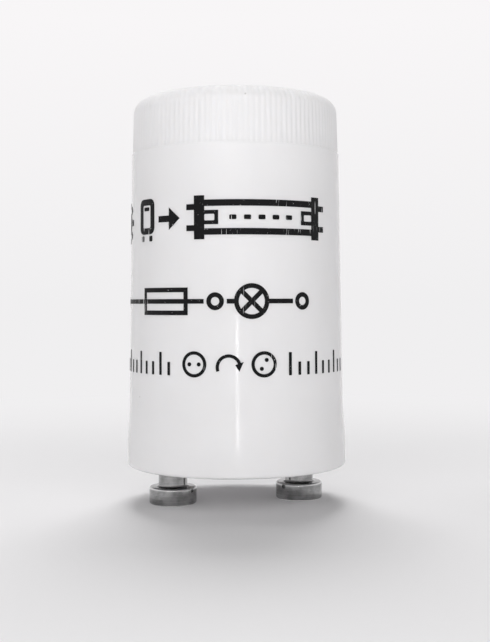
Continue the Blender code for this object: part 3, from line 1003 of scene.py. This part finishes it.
def wrap_round_canister(piece, sizes, can_sizes):
    """Bend a flat sheet of ink round the canister, its lower face just clear of the wall."""
    for vertex in piece.data.vertices:
        along, z, rise = vertex.co
        wall = surface_radius(can_sizes, z)
        radius = wall + sizes.lift + sizes.ink / 2 + rise
        turn = sizes.facing + along / wall
        vertex.co = (radius * math.sin(turn), -radius * math.cos(turn), z)


class StarterAddPrint(bpy.types.Operator):
    """Lay the three rows of printed pictures on the canister"""

    bl_idname = "starter.add_print"
    bl_label = "Add Print"

    def execute(self, context):
        sizes = settings().artwork
        can_sizes = settings().canister
        ink = printing_ink()
        rows = (("print_lamp", bold_row), ("print_wiring", wiring_row), ("print_turning", turning_row))
        for name, row in rows:
            piece = cut_flat_ink(name, row(sizes), sizes.ink)
            cut_into_strips(piece, sizes.bend_step * MOUTH_RADIUS)
            wrap_round_canister(piece, sizes, can_sizes)
            finish_piece(piece, ink)
        return {"FINISHED"}


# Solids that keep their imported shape


class StarterFinishSolids(bpy.types.Operator):
    """Give the base disc, the fuse link, the leads and the solder their finishes"""

    bl_idname = "starter.finish_solids"
    bl_label = "Finish Inner Solids"

    def execute(self, context):
        wire, solder = tinned_wire(), soft_solder()
        nickel = bpy.data.materials["bright_nickel_plating"]
        plastic = bpy.data.materials["moulded_polycarbonate"]
        finishes = {"base_disc": plastic, "fuse_tube": drawn_glass(), "fuse_element": wire}
        for side in ("left", "right"):
            finishes["fuse_cap_" + side] = nickel
            finishes["lead_wire_" + side] = wire
            finishes["solder_joint_" + side] = solder
        for node, material in finishes.items():
            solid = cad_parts[node]
            solid.data.materials.clear()
            solid.data.materials.append(material)
        return {"FINISHED"}


# Stage


def seen_rays(add):
    """1 for the rays by which the camera, metal and glass see the background, and 0 for light."""
    path = add("LightPath").outputs
    glossy, through = path["Is Glossy Ray"], path["Is Transmission Ray"]
    mirrored = add("Math", glossy, through, operation="MAXIMUM")
    return add("Math", path["Is Camera Ray"], mirrored, operation="MAXIMUM")


def paper_floor():
    """Matt white card. Far from the starter it becomes the background, so no edge shows."""
    material, add, place = new_material("matt_card")
    palette, stage = settings().colours, settings().stage
    fibres = add("TexNoise", place, per_mm(0.6), 4.0)
    finish = {
        "Base Color": palette.floor[:],
        "Roughness": 0.9,
        "Specular IOR Level": 0.2,
        "Normal": add("Bump", inputs={"Height": fibres, "Distance": 0.01 * MM}),
    }
    card = add("BsdfPrincipled", inputs=finish)
    far = add("Emission", palette.background_low[:], 1.0)
    distance = add("VectorMath", place, operation="LENGTH").outputs["Value"]
    fade = (stage.fade_start, stage.fade_end)
    away = add("MapRange", distance, *fade, interpolation_type="SMOOTHSTEP")
    share = add("Math", away, seen_rays(add), operation="MULTIPLY")
    faded = add("MixShader", share, card, far)
    below = add("NewGeometry").outputs["Backfacing"]
    path = add("LightPath").outputs
    from_below = add("Math", below, path["Is Camera Ray"], operation="MULTIPLY")
    # The pins' end faces mirror the open space below them, not the card that they touch
    touching = add("Math", path["Ray Length"], TOUCHING_RAY, operation="LESS_THAN")
    under_pin = add("Math", touching, path["Is Glossy Ray"], operation="MULTIPLY")
    hidden = add("Math", from_below, under_pin, operation="MAXIMUM")
    shown = add("MixShader", hidden, faded, add("BsdfTransparent"))
    add("OutputMaterial", shown)
    return material


def studio_world():
    """Even light from all round, and the pale background that the camera and the metal see."""
    world = bpy.data.worlds.new("studio")
    world.use_nodes = True
    world.node_tree.nodes.clear()
    add = partial(add_node, world.node_tree)
    palette = settings().colours
    light = add("Background", (1.0, 1.0, 1.0, 1.0), settings().stage.world_level)
    direction = add("TexCoord").outputs["Generated"]
    height = add("SeparateXYZ", direction).outputs["Z"]
    share = add("MapRange", height, 0.0, 0.25)
    low, high = palette.background_low[:], palette.background_high[:]
    shade = add("Mix", share, low, high, data_type="RGBA")
    backdrop = add("Background", shade, 1.0)
    add("OutputWorld", add("MixShader", seen_rays(add), light, backdrop))
    return world


def add_lamp(name, watts, turn, rise, distance, width, height, mirrored=False):
    """A soft rectangular lamp that the camera doesn't see, aimed at the starter's middle.

    Its place is turned and raised by degrees, from the line on which the print faces the camera.
    """
    facing = settings().artwork.facing + math.radians(turn)
    level = distance * math.cos(math.radians(rise))
    up = MIDDLE_Z + distance * math.sin(math.radians(rise))
    place = Vector((level * math.sin(facing), -level * math.cos(facing), up))
    leave_edit_mode()
    bpy.ops.object.light_add(type="AREA", location=place)
    lamp = bpy.context.object
    lamp.name = name
    lamp.data.shape = "RECTANGLE"
    lamp.data.size = width
    lamp.data.size_y = height
    lamp.data.energy = watts
    lamp.visible_camera = False
    lamp.visible_glossy = mirrored
    lamp.rotation_euler = (Vector((0.0, 0.0, MIDDLE_Z)) - place).to_track_quat("-Z", "Y").to_euler()


def add_camera():
    """The camera, where the photograph was taken from."""
    stage = settings().stage
    facing = settings().artwork.facing
    leave_edit_mode()
    across = Vector((math.cos(facing), math.sin(facing), 0.0))
    ahead = Vector((-math.sin(facing), math.cos(facing), 0.0))
    place = -stage.camera_side * across - stage.camera_distance * ahead
    place.z = RIM_Z + stage.camera_height
    bpy.ops.object.camera_add(location=place)
    camera = bpy.context.object
    camera.name = "camera"
    camera.data.lens = stage.lens
    heading = Matrix.Rotation(facing - stage.camera_turn, 4, "Z")
    level = Matrix.Rotation(math.radians(90) - stage.camera_dip, 4, "X")
    roll = Matrix.Rotation(-stage.camera_roll, 4, "Z")
    camera.matrix_world = Matrix.Translation(camera.location) @ heading @ level @ roll
    camera.data.clip_start = 0.005
    camera.data.clip_end = 20.0
    bpy.context.scene.camera = camera


class StarterAddStage(bpy.types.Operator):
    """Add the floor, the lamps, the background and the camera"""

    bl_idname = "starter.add_stage"
    bl_label = "Add Stage"

    def execute(self, context):
        stage = settings().stage
        leave_edit_mode()
        floor_place = (0.0, 0.0, PIN_FOOT_Z - FLOOR_GAP)
        bpy.ops.mesh.primitive_circle_add(
            vertices=96, radius=stage.floor_radius, fill_type="NGON", location=floor_place
        )
        floor = context.object
        floor.name = "floor"
        floor.data.materials.append(paper_floor())
        context.scene.world = studio_world()
        # Power, turn to the right and rise in degrees, distance, width and height
        add_lamp("key_lamp", stage.key_power, 180, 60, 0.45, 0.24, 0.24)
        add_lamp("sheen_lamp", stage.sheen_power, 180, 60, 0.45, 0.24, 0.24, mirrored=True)
        add_lamp("front_lamp", stage.front_power, 0, 12, 0.40, 0.21, 0.21)
        add_lamp("rim_lamp", stage.rim_power, -6, 16, 0.40, 0.30, 0.06, mirrored=True)
        add_lamp("left_lamp", stage.left_power, -30, 25, 0.42, 0.22, 0.22)
        add_lamp("right_lamp", stage.right_power, 30, 25, 0.42, 0.22, 0.22)
        add_lamp("edge_lamp", stage.edge_power, -110, 28, 0.42, 0.20, 0.20)
        add_lamp("strip_lamp", stage.strip_power, 0.6, -2.2, 0.25, 0.008, 0.012, mirrored=True)
        add_camera()
        context.scene.view_settings.view_transform = "Standard"
        return {"FINISHED"}


class StarterPanel(bpy.types.Panel):
    """The starter's pieces and settings in the 3D view's sidebar"""

    bl_idname = "VIEW3D_PT_starter"
    bl_label = "Plug-in Starter"
    bl_space_type = "VIEW_3D"
    bl_region_type = "UI"
    bl_category = "Starter"

    def draw(self, context):
        for operator in OPERATORS:
            self.layout.operator(operator.bl_idname)
        for group in GROUPS:
            box = self.layout.box()
            values = getattr(settings(), group)
            for name in values.bl_rna.properties.keys():
                if name not in ("rna_type", "name"):
                    box.prop(values, name)


OPERATORS = (StarterAddCanister, StarterAddPins, StarterAddPrint, StarterFinishSolids, StarterAddStage)
GROUPS = ("canister", "pins", "artwork", "colours", "stage")
SETTINGS = (StarterCanisterSizes, StarterPinSizes, StarterPrintSizes, StarterColours, StarterStage)
CLASSES = (*SETTINGS, StarterSettings, *OPERATORS, StarterPanel)


def register():
    """Add the starter's classes and settings to Blender."""
    for entry in CLASSES:
        bpy.utils.register_class(entry)
    bpy.types.Scene.starter = PointerProperty(type=StarterSettings)


def unregister():
    """Take them out again."""
    del bpy.types.Scene.starter
    for entry in reversed(CLASSES):
        bpy.utils.unregister_class(entry)


def main():
    """Build every piece and the stage."""
    register()
    bpy.ops.starter.add_canister()
    bpy.ops.starter.add_pins()
    bpy.ops.starter.add_print()
    bpy.ops.starter.finish_solids()
    bpy.ops.starter.add_stage()


if __name__ == "__main__":
    main()
